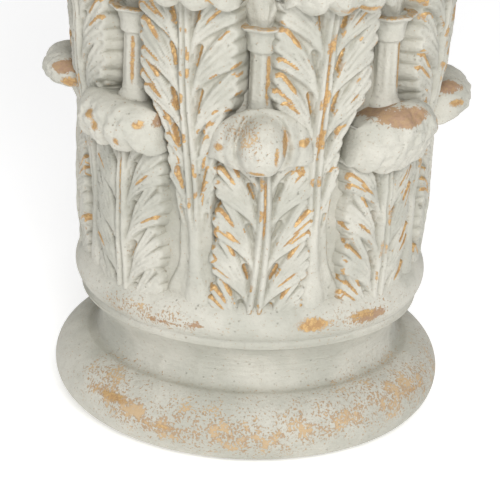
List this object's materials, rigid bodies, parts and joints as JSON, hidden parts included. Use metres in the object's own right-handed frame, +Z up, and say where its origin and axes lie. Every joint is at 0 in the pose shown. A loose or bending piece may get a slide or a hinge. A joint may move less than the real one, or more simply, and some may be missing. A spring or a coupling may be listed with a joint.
{
  "type": "plinth",
  "caption": "Cast plinth in the form of a Corinthian capital: rounded foot, ring, two rows of acanthus leaves, scrolls and a flat hollow-sided top.",
  "frame": {"origin": "middle of the flat underside", "axes": "+Z up; the hollow faces of the abacus look along X and Y"},
  "size_m": [0.4016, 0.4016, 0.6],
  "materials": {
    "cast_paint": "chalky off-white paint over gold, worn through to gold and red-brown on edges, tips and foot"
  },
  "bodies": {
    "root": {"plinth": "cast_paint"}
  },
  "joints": []
}
